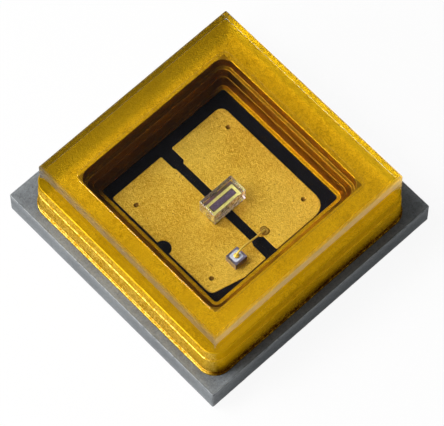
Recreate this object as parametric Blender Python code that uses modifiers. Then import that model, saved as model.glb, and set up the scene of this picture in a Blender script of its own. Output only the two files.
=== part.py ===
"""Surface-mount ultraviolet LED: ceramic base, gold frame, quartz window and the bare chips inside.

The origin is on the surface that the solder terminals rest on, under the middle of the base.
The plated pattern sits a little off the middle of the base, because the base was snapped from a
larger plate after plating. Places in the plan are measured from the middle of that pattern.
"""

import math

import bmesh
import bpy
from mathutils import Vector

MM = 0.001

# Fits
SEAT_GAP = 0.002 * MM
SIDE_GAP = 0.002 * MM

# Ceramic base
BASE_SIDE = 3.50 * MM
BASE_THICKNESS = 0.356 * MM
BASE_CORNER_CHAMFER = 0.025 * MM
PATTERN_OFFSET = Vector((-0.050 * MM, -0.058 * MM, 0.0))

# Solder terminals under the base
TERMINAL_THICKNESS = 0.05 * MM
TERMINAL_EDGE_MARGIN = 0.15 * MM
THERMAL_TERMINAL_WIDTH = 0.80 * MM
TERMINAL_SPACING = 0.21 * MM
TERMINAL_CORNER_RADIUS = 0.06 * MM
POLARITY_CHAMFER = 0.35 * MM

# Frame round the cavity
FRAME_BASE_MARGIN = 0.162 * MM
FRAME_WALL_WIDTH = 0.389 * MM
FRAME_HEIGHT = 0.589 * MM
FRAME_CORNER_RADIUS = 0.200 * MM
FRAME_EDGE_RADIUS = 0.012 * MM
BAND_HEIGHT = 0.215 * MM
BAND_STEP = 0.010 * MM
WALL_DRAFT = 0.010 * MM
GROOVE_DEPTH = 0.022 * MM
GROOVE_HEIGHT = 0.045 * MM
FLANGE_HEIGHT = 0.030 * MM
FLANGE_EDGE_RADIUS = 0.008 * MM
OUTER_FLANGE_WIDTH = 0.016 * MM
INNER_FLANGE_WIDTH = 0.045 * MM
OPENING_CORNER_RADIUS = 0.155 * MM
TREAD_DEPTH = 0.150 * MM
TREAD_WIDTH = 0.045 * MM
TREAD_EDGE_RADIUS = 0.010 * MM
LINE_DEPTH = 0.330 * MM
LINE_WIDTH = 0.007 * MM
OPENING_DRAFT = 0.005 * MM
FOOT_SHIFT = 0.068 * MM

# Window and the glue under it
WINDOW_SETBACK = 0.062 * MM
WINDOW_THICKNESS = 0.315 * MM
WINDOW_OFFSET = Vector((0.022 * MM, 0.007 * MM, 0.0))
WINDOW_EDGE_CHAMFER = 0.030 * MM
SEAL_THICKNESS = 0.008 * MM
SEAL_SETBACK = 0.035 * MM
SEAL_OPENING_MARGIN = 0.040 * MM
SEAL_CORNER_RADIUS = 0.060 * MM

# Cavity floor: two gold pads, with a black coat between and round them
PAD_THICKNESS = 0.018 * MM
PAD_EDGE_CHAMFER = 0.004 * MM
MASK_THICKNESS = 0.010 * MM
PAD_SIDE_GAP = 0.167 * MM
PAD_REAR_GAP = 0.151 * MM
PAD_FRONT_GAP = 0.015 * MM
SLOT_CENTRE_X = -0.0225 * MM
SLOT_WIDTH = 0.115 * MM
SLOT_WIDE_END_REAR = 0.242 * MM
SLOT_WIDE_END_FRONT = 0.255 * MM
SLOT_STEP_LEFT = 0.020 * MM
SLOT_STEP_RIGHT = 0.034 * MM
SLOT_STEP_RUN = 0.030 * MM
CATHODE_REAR_RADIUS = 0.025 * MM
CATHODE_FRONT_WIDTH = 0.370 * MM
CATHODE_FRONT_RADIUS = 0.060 * MM
CATHODE_SHOULDER_LENGTH = 0.110 * MM
CATHODE_SHOULDER_RADIUS = 0.080 * MM
NOTCH_RADIUS = 0.100 * MM
NOTCH_DEPTH = 0.097 * MM
NOTCH_REAR_DISTANCE = 0.882 * MM
ANODE_REAR_RADIUS = 0.100 * MM
ANODE_FRONT_RADIUS = 0.180 * MM
SMALL_RADIUS = 0.020 * MM

# Filled vias through the base, set in from the edges of the pads
VIA_DIAMETER = 0.10 * MM
VIA_SIDE_INSET = 0.144 * MM
VIA_REAR_INSET = 0.260 * MM
VIA_FRONT_INSET = 0.250 * MM
DIMPLE_DIAMETER = 0.062 * MM
DIMPLE_DEPTH = 0.011 * MM

# Flip-chip LED, across the slot between the pads
LED_LENGTH = 0.500 * MM
LED_WIDTH = 0.260 * MM
LED_SLOT_OFFSET = 0.0175 * MM
LED_Y = -0.057 * MM
SUBSTRATE_THICKNESS = 0.235 * MM
EPI_THICKNESS = 0.006 * MM
EPI_SETBACK = 0.008 * MM
CONTACT_THICKNESS = 0.004 * MM
N_RING_LENGTH = 0.443 * MM
N_RING_WIDTH = 0.160 * MM
N_RING_BAND = 0.036 * MM
N_RING_RADIUS = 0.012 * MM
P_BAR_CLEARANCE = 0.012 * MM
P_BAR_RADIUS = 0.020 * MM
BOND_PAD_THICKNESS = 0.008 * MM
BOND_PAD_SIDE_SETBACK = 0.035 * MM
BOND_PAD_END_SETBACK = 0.030 * MM
BOND_PAD_SLOT_MARGIN = 0.020 * MM
LED_SOLDER_THICKNESS = 0.010 * MM
LED_SOLDER_SPREAD = 0.012 * MM
SOLDER_EDGE_RADIUS = 0.004 * MM

# Protection diode and its bond wire
ZENER_LENGTH = 0.180 * MM
ZENER_WIDTH = 0.170 * MM
ZENER_THICKNESS = 0.100 * MM
ZENER_SLOT_DISTANCE = 0.290 * MM
ZENER_FRONT_DISTANCE = 0.223 * MM
ZENER_SOLDER_THICKNESS = 0.010 * MM
ZENER_SOLDER_SPREAD = 0.005 * MM
ZENER_PAD_SETBACK = 0.025 * MM
ZENER_PAD_THICKNESS = 0.003 * MM
WIRE_DIAMETER = 0.020 * MM
BALL_DIAMETER = 0.062 * MM
BALL_HEIGHT = 0.030 * MM
WIRE_RISE = 0.100 * MM
WIRE_LEAN = 0.045 * MM
WIRE_LANDING_RUN = 0.200 * MM
WIRE_LANDING_RISE = 0.060 * MM
STITCH_SLOT_DISTANCE = 0.095 * MM
STITCH_FRONT_DISTANCE = 0.270 * MM
STITCH_LENGTH = 0.090 * MM
STITCH_WIDTH = 0.070 * MM
STITCH_HEIGHT = 0.012 * MM

# Fineness of the curved shapes
CORNER_STEPS = 8
EDGE_STEPS = 3
ROUND_SIDES = 20
WIRE_STEPS = 24
WELD_DISTANCE = 1e-6 * MM

# Heights worked out from the stack
BASE_BOTTOM = TERMINAL_THICKNESS + SEAT_GAP
FLOOR = BASE_BOTTOM + BASE_THICKNESS + SEAT_GAP
PAD_TOP = FLOOR + PAD_THICKNESS
CHIP_JOINT_BOTTOM = PAD_TOP + SEAT_GAP
FRAME_TOP = FLOOR + FRAME_HEIGHT
SEAL_BOTTOM = FRAME_TOP + SEAT_GAP
WINDOW_BOTTOM = SEAL_BOTTOM + SEAL_THICKNESS + SEAT_GAP

# Half-widths of the frame and the window, worked inward from the edge of the base
OUTER_FLANGE_HALF = BASE_SIDE / 2 - FRAME_BASE_MARGIN
WALL_FOOT_HALF = OUTER_FLANGE_HALF - OUTER_FLANGE_WIDTH
BAND_HALF = WALL_FOOT_HALF - WALL_DRAFT - BAND_STEP
OPENING_HALF = BAND_HALF - FRAME_WALL_WIDTH
TREAD_HALF = OPENING_HALF - OPENING_DRAFT - TREAD_WIDTH
LINE_HALF = TREAD_HALF - OPENING_DRAFT - LINE_WIDTH
FOOT_REACH = LINE_HALF - OPENING_DRAFT - INNER_FLANGE_WIDTH
WINDOW_HALF = BAND_HALF - WINDOW_SETBACK

# Edges of the pads, worked inward from the opening at the floor, which is off centre by its shift
PAD_OUTER_X = FOOT_REACH - PAD_SIDE_GAP
PAD_REAR_Y = FOOT_REACH - PAD_REAR_GAP
PAD_FRONT_Y = 2 * FOOT_SHIFT - FOOT_REACH + PAD_FRONT_GAP
SLOT_LEFT_X = SLOT_CENTRE_X - SLOT_WIDTH / 2
SLOT_RIGHT_X = SLOT_CENTRE_X + SLOT_WIDTH / 2

# Places of the chips and of the stitch, in the plan
LED_PLACE = PATTERN_OFFSET + Vector((SLOT_CENTRE_X + LED_SLOT_OFFSET, LED_Y, 0.0))
ZENER_PLACE = PATTERN_OFFSET + Vector(
    (SLOT_LEFT_X - ZENER_SLOT_DISTANCE, PAD_FRONT_Y + ZENER_FRONT_DISTANCE, 0.0))
STITCH_PLACE = PATTERN_OFFSET + Vector(
    (SLOT_RIGHT_X + STITCH_SLOT_DISTANCE, PAD_FRONT_Y + STITCH_FRONT_DISTANCE, 0.0))

# Colours as red, green, blue; then roughness and metallic
FINISHES = {
    "ceramic": ((0.25, 0.25, 0.25), 0.80, 0.0),
    "coat": ((0.010, 0.010, 0.014), 0.45, 0.0),
    "gold": ((0.72, 0.40, 0.06), 0.35, 1.0),
    "copper": ((0.60, 0.27, 0.14), 0.40, 1.0),
    "quartz": ((0.90, 0.92, 0.92), 0.05, 0.0),
    "glue": ((0.80, 0.78, 0.70), 0.15, 0.0),
    "sapphire": ((0.62, 0.60, 0.70), 0.08, 0.0),
    "epi": ((0.40, 0.34, 0.44), 0.20, 0.0),
    "ring": ((0.85, 0.72, 0.25), 0.25, 1.0),
    "bar": ((0.24, 0.20, 0.32), 0.30, 1.0),
    "solder": ((0.48, 0.43, 0.38), 0.40, 1.0),
    "silicon": ((0.16, 0.16, 0.24), 0.30, 0.4),
    "aluminium": ((0.72, 0.76, 0.84), 0.30, 1.0),
}


def clear_scene():
    """Remove every object that is in the file."""
    for item in list(bpy.data.objects):
        bpy.data.objects.remove(item, do_unlink=True)


def new_collection(name):
    """Add a collection to the scene and return it."""
    group = bpy.data.collections.new(name)
    bpy.context.scene.collection.children.link(group)
    return group


def new_material(name, finish):
    """Return a Principled material with the colour and surface of one finish."""
    colour, roughness, metallic = FINISHES[finish]
    material = bpy.data.materials.new(name)
    material.use_nodes = True
    shader = material.node_tree.nodes["Principled BSDF"]
    shader.inputs["Base Color"].default_value = (*colour, 1.0)
    shader.inputs["Roughness"].default_value = roughness
    shader.inputs["Metallic"].default_value = metallic
    material.diffuse_color = (*colour, 1.0)
    return material


def move_to(group, item, name):
    """Name an object and keep it in one collection only."""
    item.name = name
    item.data.name = name
    for owner in list(item.users_collection):
        owner.objects.unlink(item)
    group.objects.link(item)


def place(item, name, finish, parts):
    """Make an object one of the parts, with its own material."""
    move_to(parts, item, name)
    item.data.materials.clear()
    item.data.materials.append(new_material(name, finish))


def place_cutter(item, name, cutters):
    """Keep an object as a tool that only shapes other pieces."""
    move_to(cutters, item, name)
    item.hide_render = True
    item.display_type = "WIRE"


def arc_points(centre, radius, start, end, steps):
    """Return points on an arc in the plane, from one angle to another."""
    points = []
    for step in range(steps + 1):
        angle = start + (end - start) * step / steps
        points.append((centre[0] + radius * math.cos(angle), centre[1] + radius * math.sin(angle)))
    return points


def rounded_rectangle(half_x, half_y, radius, steps=CORNER_STEPS):
    """Return the outline of a rectangle with round corners, anticlockwise."""
    outline = []
    for quarter, (side_x, side_y) in enumerate(((1, 1), (-1, 1), (-1, -1), (1, -1))):
        centre = (side_x * (half_x - radius), side_y * (half_y - radius))
        start = quarter * math.pi / 2
        outline += arc_points(centre, radius, start, start + math.pi / 2, steps)
    return outline


def round_corner(before, corner, after, radius, steps):
    """Return the arc that rounds one corner of an outline."""
    here = Vector(corner)
    back = (Vector(before) - here).normalized()
    ahead = (Vector(after) - here).normalized()
    half_angle = back.angle(ahead) / 2
    middle = here + (back + ahead).normalized() * radius / math.sin(half_angle)
    first = here + back * radius / math.tan(half_angle) - middle
    last = here + ahead * radius / math.tan(half_angle) - middle
    start = math.atan2(first.y, first.x)
    sweep = (math.atan2(last.y, last.x) - start + math.pi) % (2 * math.pi) - math.pi
    return arc_points(middle, radius, start, start + sweep, steps)


def rounded_outline(corners, steps=CORNER_STEPS // 2):
    """Return an outline from corners given as x, y and a radius, which may be zero."""
    outline = []
    for index, (x, y, radius) in enumerate(corners):
        before = corners[index - 1][:2]
        after = corners[(index + 1) % len(corners)][:2]
        if radius:
            outline += round_corner(before, (x, y), after, radius, steps)
        else:
            outline.append((x, y))
    return outline


def grown(outline, distance):
    """Return an anticlockwise outline moved outward by a distance."""
    moved = []
    for index, point in enumerate(outline):
        here = Vector(point)
        back = (here - Vector(outline[index - 1])).normalized()
        ahead = (Vector(outline[(index + 1) % len(outline)]) - here).normalized()
        edge_normal = Vector((back.y, -back.x))
        normal = (edge_normal + Vector((ahead.y, -ahead.x))).normalized()
        moved.append(tuple(here + normal * distance / normal.dot(edge_normal)))
    return moved


def add_object(name, data, location):
    """Put new data in the scene as an object."""
    item = bpy.data.objects.new(name, data)
    item.location = location
    bpy.context.scene.collection.objects.link(item)
    return item


def new_curve(dimensions, outlines, cyclic):
    """Return curve data with one straight-sided spline for each list of points."""
    curve = bpy.data.curves.new("curve", "CURVE")
    curve.dimensions = dimensions
    for outline in outlines:
        spline = curve.splines.new("POLY")
        spline.points.add(len(outline) - 1)
        for point, where in zip(spline.points, outline):
            point.co = (*Vector(where).to_3d(), 1.0)
        spline.use_cyclic_u = cyclic
    return curve


def as_mesh(guide):
    """Turn a curve object into a mesh object in the same place, with its caps welded."""
    bpy.context.view_layer.update()
    evaluated = guide.evaluated_get(bpy.context.evaluated_depsgraph_get())
    mesh = bpy.data.meshes.new_from_object(evaluated)
    work = bmesh.new()
    work.from_mesh(mesh)
    bmesh.ops.remove_doubles(work, verts=work.verts, dist=WELD_DISTANCE)
    bmesh.ops.recalc_face_normals(work, faces=work.faces)
    work.to_mesh(mesh)
    work.free()
    solid = add_object(guide.name, mesh, guide.location)
    solid.matrix_world = guide.matrix_world.copy()
    bpy.data.objects.remove(guide, do_unlink=True)
    return solid


def plate(outlines, bottom, thickness, centre, chamfer=0.0):
    """Return a flat plate: the first outline is its edge and the others are openings."""
    curve = new_curve("2D", outlines, True)
    curve.fill_mode = "BOTH"
    curve.extrude = thickness / 2 - chamfer
    curve.bevel_depth = chamfer
    curve.bevel_resolution = 0
    curve.offset = -chamfer
    return as_mesh(add_object("plate", curve, (centre.x, centre.y, bottom + thickness / 2)))


def wire(points, diameter):
    """Return a round wire along points."""
    curve = new_curve("3D", [points], False)
    curve.bevel_depth = diameter / 2
    curve.bevel_resolution = 3
    curve.use_fill_caps = True
    return as_mesh(add_object("wire", curve, (0.0, 0.0, 0.0)))


def primitive(shape, size, location, turn=0.0):
    """Return a box, an upright rod or an ellipsoid by its overall size and its middle."""
    mesh = bpy.data.meshes.new(shape)
    work = bmesh.new()
    if shape == "box":
        bmesh.ops.create_cube(work, size=1.0)
    elif shape == "rod":
        bmesh.ops.create_cone(
            work, cap_ends=True, segments=ROUND_SIDES, radius1=0.5, radius2=0.5, depth=1.0)
    else:
        bmesh.ops.create_uvsphere(work, u_segments=ROUND_SIDES, v_segments=ROUND_SIDES // 2, radius=0.5)
    bmesh.ops.scale(work, verts=work.verts, vec=size)
    work.to_mesh(mesh)
    work.free()
    item = add_object(shape, mesh, location)
    item.rotation_euler.z = turn
    return item


def standing(shape, size, bottom, centre):
    """Return a box or a rod that stands at a height, over a place in the plan."""
    return primitive(shape, size, (centre.x, centre.y, bottom + size[2] / 2))


def bevel_edges(item, width, wanted):
    """Chamfer the edges whose two ends pass a test on the mesh's own coordinates."""
    work = bmesh.new()
    work.from_mesh(item.data)
    edges = [edge for edge in work.edges if wanted(edge.verts[0].co, edge.verts[1].co)]
    bmesh.ops.bevel(work, geom=edges, offset=width, segments=1, affect="EDGES", offset_type="OFFSET")
    work.to_mesh(item.data)
    work.free()


def round_edges(item, width, segments):
    """Round all the square edges of a piece."""
    modifier = item.modifiers.new("round edges", "BEVEL")
    modifier.width = width
    modifier.segments = segments
    modifier.limit_method = "ANGLE"
    modifier.angle_limit = math.radians(70)


def boolean(item, tool, operation):
    """Cut a piece with a tool, or join the tool to it."""
    modifier = item.modifiers.new(operation.lower(), "BOOLEAN")
    modifier.object = tool
    modifier.operation = operation
    modifier.solver = "EXACT"


def via_places():
    """Return the middles of the vias: the left ones first, each pair from front to rear."""
    x = PAD_OUTER_X - VIA_SIDE_INSET
    front = PAD_FRONT_Y + VIA_FRONT_INSET
    rear = PAD_REAR_Y - VIA_REAR_INSET
    return [PATTERN_OFFSET + Vector((side * x, y, 0.0)) for side in (-1, 1) for y in (front, rear)]


def make_base(parts, cutters):
    """Ceramic base, with a hole for each via."""
    base = standing("box", (BASE_SIDE, BASE_SIDE, BASE_THICKNESS), BASE_BOTTOM, Vector())
    bevel_edges(base, BASE_CORNER_CHAMFER, lambda a, b: a.z * b.z < 0)
    drill_diameter = VIA_DIAMETER + 2 * SIDE_GAP
    for index, centre in enumerate(via_places(), start=1):
        size = (drill_diameter, drill_diameter, 2 * BASE_THICKNESS)
        drill = standing("rod", size, BASE_BOTTOM - BASE_THICKNESS / 2, centre)
        place_cutter(drill, f"via_drill_{index}", cutters)
        boolean(base, drill, "DIFFERENCE")
    place(base, "ceramic_base", "ceramic", parts)


def make_vias(parts):
    """Copper fillings of the holes in the base."""
    for index, centre in enumerate(via_places(), start=1):
        via = standing("rod", (VIA_DIAMETER, VIA_DIAMETER, BASE_THICKNESS), BASE_BOTTOM, centre)
        place(via, f"via_{index}", "copper", parts)


def marked_terminal(half_x, half_y):
    """Outline of the cathode terminal, with the cut corner that marks it."""
    return rounded_outline([
        (-half_x, -half_y, TERMINAL_CORNER_RADIUS),
        (half_x, -half_y, TERMINAL_CORNER_RADIUS),
        (half_x, half_y, TERMINAL_CORNER_RADIUS),
        (POLARITY_CHAMFER - half_x, half_y, SMALL_RADIUS),
        (-half_x, half_y - POLARITY_CHAMFER, SMALL_RADIUS),
    ])


def make_terminals(parts):
    """Solder terminals: one under each pad's vias and a thermal one between them."""
    half_y = BASE_SIDE / 2 - TERMINAL_EDGE_MARGIN
    thermal_half = THERMAL_TERMINAL_WIDTH / 2
    side_half = (half_y - thermal_half - TERMINAL_SPACING) / 2
    side_x = half_y - side_half
    layout = (
        ("cathode_terminal", -side_x, marked_terminal(side_half, half_y)),
        ("thermal_terminal", 0.0, rounded_rectangle(thermal_half, half_y, TERMINAL_CORNER_RADIUS)),
        ("anode_terminal", side_x, rounded_rectangle(side_half, half_y, TERMINAL_CORNER_RADIUS)),
    )
    for name, x, outline in layout:
        centre = PATTERN_OFFSET + Vector((x, 0.0, 0.0))
        place(plate([outline], 0.0, TERMINAL_THICKNESS, centre), name, "gold", parts)


def frame_outside():
    """Outer side of the frame's section as half-width and height, from the floor to the top."""
    wall_half = WALL_FOOT_HALF - WALL_DRAFT
    groove_half = WALL_FOOT_HALF - GROOVE_DEPTH
    groove_top = FLANGE_HEIGHT + GROOVE_HEIGHT
    band_foot = FRAME_HEIGHT - BAND_HEIGHT
    flange_centre = (OUTER_FLANGE_HALF - FLANGE_EDGE_RADIUS, FLANGE_HEIGHT - FLANGE_EDGE_RADIUS)
    edge_centre = (BAND_HALF - FRAME_EDGE_RADIUS, FRAME_HEIGHT - FRAME_EDGE_RADIUS)
    points = [(OUTER_FLANGE_HALF, 0.0)]
    points += arc_points(flange_centre, FLANGE_EDGE_RADIUS, 0.0, math.pi / 2, EDGE_STEPS)
    points += [
        (groove_half, FLANGE_HEIGHT),
        (groove_half, groove_top - GROOVE_DEPTH),
        (WALL_FOOT_HALF, groove_top),
        (wall_half, band_foot - BAND_STEP),
        (BAND_HALF, band_foot),
    ]
    return points + arc_points(edge_centre, FRAME_EDGE_RADIUS, 0.0, math.pi / 2, EDGE_STEPS)


def frame_inside():
    """Inner side of the frame's section as reach, height and shift, from the top to the floor.

    The reach is to the rear and the right. The shift is how far the opening is off centre there.
    """
    tread_height = FRAME_HEIGHT - TREAD_DEPTH
    line_height = FRAME_HEIGHT - LINE_DEPTH
    edge_centre = (OPENING_HALF + FRAME_EDGE_RADIUS, FRAME_HEIGHT - FRAME_EDGE_RADIUS)
    tread_centre = (TREAD_HALF + TREAD_EDGE_RADIUS, tread_height - TREAD_EDGE_RADIUS)
    flange_centre = (FOOT_REACH + FLANGE_EDGE_RADIUS, FLANGE_HEIGHT - FLANGE_EDGE_RADIUS)
    upper = arc_points(edge_centre, FRAME_EDGE_RADIUS, math.pi / 2, math.pi, EDGE_STEPS)
    upper.append((OPENING_HALF - OPENING_DRAFT, tread_height))
    upper += arc_points(tread_centre, TREAD_EDGE_RADIUS, math.pi / 2, math.pi, EDGE_STEPS)
    line = [(TREAD_HALF - OPENING_DRAFT, line_height), (LINE_HALF, line_height - LINE_WIDTH)]
    foot = [(FOOT_REACH + INNER_FLANGE_WIDTH, FLANGE_HEIGHT)]
    foot += arc_points(flange_centre, FLANGE_EDGE_RADIUS, math.pi / 2, math.pi, EDGE_STEPS)
    foot.append((FOOT_REACH, 0.0))
    shifted = ((upper, 0.0), (line, FOOT_SHIFT / 2), (foot, FOOT_SHIFT))
    return [(reach, height, shift) for points, shift in shifted for reach, height in points]


def outer_ring(half):
    """Ring of the frame's outer side. All rings of one corner share a centre."""
    return rounded_rectangle(half, half, FRAME_CORNER_RADIUS + half - BAND_HALF)


def inner_ring(reach, shift):
    """Ring of the opening, which is off centre by its shift, towards the rear and the right."""
    half = reach - shift
    outline = rounded_rectangle(half, half, OPENING_CORNER_RADIUS + reach - OPENING_HALF)
    return [(x + shift, y + shift) for x, y in outline]


def make_frame(parts):
    """Plated frame, lofted round the cavity through one square ring for each point of its section."""
    section = [(outer_ring(half), height) for half, height in frame_outside()]
    section += [(inner_ring(reach, shift), height) for reach, height, shift in frame_inside()]
    work = bmesh.new()
    rings = [[work.verts.new((x, y, height)) for x, y in outline] for outline, height in section]
    for index, ring in enumerate(rings):
        inner = rings[(index + 1) % len(rings)]
        for step in range(len(ring)):
            following = (step + 1) % len(ring)
            work.faces.new((ring[step], ring[following], inner[following], inner[step]))
    bmesh.ops.recalc_face_normals(work, faces=work.faces)
    mesh = bpy.data.meshes.new("frame")
    work.to_mesh(mesh)
    work.free()
    frame = add_object("frame", mesh, PATTERN_OFFSET + Vector((0.0, 0.0, FLOOR)))
    place(frame, "frame", "gold", parts)


def slot_edge(edge_x, step):
    """Corners down one side of the slot, which is wider at its two ends."""
    rear_y = PAD_REAR_Y - SLOT_WIDE_END_REAR
    front_y = PAD_FRONT_Y + SLOT_WIDE_END_FRONT
    return [
        (edge_x + step, rear_y + SLOT_STEP_RUN, SMALL_RADIUS),
        (edge_x, rear_y, SMALL_RADIUS),
        (edge_x, front_y, SMALL_RADIUS),
        (edge_x + step, front_y - SLOT_STEP_RUN, SMALL_RADIUS),
    ]


def notch_points():
    """Half-round notch in the left edge of the cathode pad, from rear to front."""
    centre = (NOTCH_DEPTH - NOTCH_RADIUS - PAD_OUTER_X, PAD_REAR_Y - NOTCH_REAR_DISTANCE)
    mouth = math.acos((NOTCH_RADIUS - NOTCH_DEPTH) / NOTCH_RADIUS)
    return arc_points(centre, NOTCH_RADIUS, mouth, -mouth, CORNER_STEPS)


def cathode_outline():
    """Left pad, anticlockwise from its rear left corner."""
    slot_end_x = SLOT_LEFT_X - SLOT_STEP_LEFT
    corners = [(-PAD_OUTER_X, PAD_REAR_Y, CATHODE_REAR_RADIUS)]
    corners += [(x, y, 0.0) for x, y in notch_points()]
    corners += [
        (-PAD_OUTER_X, PAD_FRONT_Y + CATHODE_SHOULDER_LENGTH, CATHODE_SHOULDER_RADIUS),
        (SLOT_LEFT_X - CATHODE_FRONT_WIDTH, PAD_FRONT_Y, CATHODE_FRONT_RADIUS),
        (slot_end_x, PAD_FRONT_Y, SMALL_RADIUS),
    ]
    corners += reversed(slot_edge(SLOT_LEFT_X, -SLOT_STEP_LEFT))
    corners.append((slot_end_x, PAD_REAR_Y, CATHODE_REAR_RADIUS))
    return rounded_outline(corners)


def anode_outline():
    """Right pad, anticlockwise from the rear end of the slot."""
    slot_end_x = SLOT_RIGHT_X + SLOT_STEP_RIGHT
    corners = [(slot_end_x, PAD_REAR_Y, SMALL_RADIUS)]
    corners += slot_edge(SLOT_RIGHT_X, SLOT_STEP_RIGHT)
    corners += [
        (slot_end_x, PAD_FRONT_Y, SMALL_RADIUS),
        (PAD_OUTER_X, PAD_FRONT_Y, ANODE_FRONT_RADIUS),
        (PAD_OUTER_X, PAD_REAR_Y, ANODE_REAR_RADIUS),
    ]
    return rounded_outline(corners)


def dimple_cutters(cutters):
    """Spheres that each cut a shallow dimple in the plating, over a via."""
    radius = (DIMPLE_DIAMETER ** 2 / 4 + DIMPLE_DEPTH ** 2) / (2 * DIMPLE_DEPTH)
    height = PAD_TOP + radius - DIMPLE_DEPTH
    tools = []
    for index, centre in enumerate(via_places(), start=1):
        size = (2 * radius, 2 * radius, 2 * radius)
        tool = primitive("ellipsoid", size, centre + Vector((0.0, 0.0, height)))
        place_cutter(tool, f"dimple_cutter_{index}", cutters)
        tools.append(tool)
    return tools


def make_pads(parts, cutters):
    """The two gold pads on the cavity floor, each with a dimple over each of its vias."""
    tools = dimple_cutters(cutters)
    layout = (
        ("cathode_pad", cathode_outline(), tools[:2]),
        ("anode_pad", anode_outline(), tools[2:]),
    )
    for name, outline, dimples in layout:
        pad = plate([outline], FLOOR, PAD_THICKNESS, PATTERN_OFFSET, PAD_EDGE_CHAMFER)
        for tool in dimples:
            boolean(pad, tool, "DIFFERENCE")
        place(pad, name, "gold", parts)


def make_floor_mask(parts):
    """Black coat on the ceramic inside the frame, open round the pads."""
    edge = inner_ring(FOOT_REACH - SIDE_GAP, FOOT_SHIFT)
    openings = [grown(outline, SIDE_GAP) for outline in (cathode_outline(), anode_outline())]
    place(plate([edge] + openings, FLOOR, MASK_THICKNESS, PATTERN_OFFSET), "floor_mask", "coat", parts)


def make_window(parts):
    """Quartz window, and the clear glue that holds it on the frame."""
    seal_half = WINDOW_HALF - SEAL_SETBACK
    opening_half = OPENING_HALF + SEAL_OPENING_MARGIN
    edge = rounded_rectangle(seal_half, seal_half, SEAL_CORNER_RADIUS)
    opening = inner_ring(opening_half, 0.0)
    place(plate([edge, opening], SEAL_BOTTOM, SEAL_THICKNESS, PATTERN_OFFSET), "window_seal", "glue", parts)
    size = (2 * WINDOW_HALF, 2 * WINDOW_HALF, WINDOW_THICKNESS)
    window = standing("box", size, WINDOW_BOTTOM, PATTERN_OFFSET + WINDOW_OFFSET)
    bevel_edges(window, WINDOW_EDGE_CHAMFER, lambda a, b: max(a.z, b.z) > 0)
    place(window, "window", "quartz", parts)


def make_led_joints(parts):
    """Bond pads under the two ends of the LED, each on its solder joint."""
    pad_bottom = CHIP_JOINT_BOTTOM + LED_SOLDER_THICKNESS + SEAT_GAP
    end = LED_LENGTH / 2 - BOND_PAD_END_SETBACK
    width = LED_WIDTH - 2 * BOND_PAD_SIDE_SETBACK
    spread = 2 * LED_SOLDER_SPREAD
    spans = (
        ("led_n", LED_PLACE.x - end, PATTERN_OFFSET.x + SLOT_LEFT_X - BOND_PAD_SLOT_MARGIN),
        ("led_p", PATTERN_OFFSET.x + SLOT_RIGHT_X + BOND_PAD_SLOT_MARGIN, LED_PLACE.x + end),
    )
    for name, start, finish in spans:
        centre = Vector(((start + finish) / 2, LED_PLACE.y, 0.0))
        length = finish - start
        size = (length + spread, width + spread, LED_SOLDER_THICKNESS)
        joint = standing("box", size, CHIP_JOINT_BOTTOM, centre)
        round_edges(joint, SOLDER_EDGE_RADIUS, 2)
        place(joint, f"{name}_solder", "solder", parts)
        pad = standing("box", (length, width, BOND_PAD_THICKNESS), pad_bottom, centre)
        place(pad, f"{name}_pad", "gold", parts)
    return pad_bottom + BOND_PAD_THICKNESS + SEAT_GAP


def make_led_contacts(parts, bottom):
    """Ring contact with the bar contact inside it, as seen through the sapphire."""
    hole_x = N_RING_LENGTH / 2 - N_RING_BAND
    hole_y = N_RING_WIDTH / 2 - N_RING_BAND
    edge = rounded_rectangle(N_RING_LENGTH / 2, N_RING_WIDTH / 2, N_RING_RADIUS, EDGE_STEPS)
    opening = rounded_rectangle(hole_x, hole_y, N_RING_RADIUS, EDGE_STEPS)
    ring = plate([edge, opening], bottom, CONTACT_THICKNESS, LED_PLACE)
    place(ring, "led_n_contact", "ring", parts)
    bar_x = hole_x - P_BAR_CLEARANCE
    bar_y = hole_y - P_BAR_CLEARANCE
    bar_outline = rounded_rectangle(bar_x, bar_y, P_BAR_RADIUS, EDGE_STEPS)
    place(plate([bar_outline], bottom, CONTACT_THICKNESS, LED_PLACE), "led_p_contact", "bar", parts)
    return bottom + CONTACT_THICKNESS + SEAT_GAP


def make_led(parts):
    """Flip-chip LED, from the joints on the pads up to its sapphire block."""
    contact_bottom = make_led_joints(parts)
    epi_bottom = make_led_contacts(parts, contact_bottom)
    epi_size = (LED_LENGTH - 2 * EPI_SETBACK, LED_WIDTH - 2 * EPI_SETBACK, EPI_THICKNESS)
    place(standing("box", epi_size, epi_bottom, LED_PLACE), "led_epi_layer", "epi", parts)
    size = (LED_LENGTH, LED_WIDTH, SUBSTRATE_THICKNESS)
    substrate_bottom = epi_bottom + EPI_THICKNESS + SEAT_GAP
    place(standing("box", size, substrate_bottom, LED_PLACE), "led_substrate", "sapphire", parts)


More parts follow.
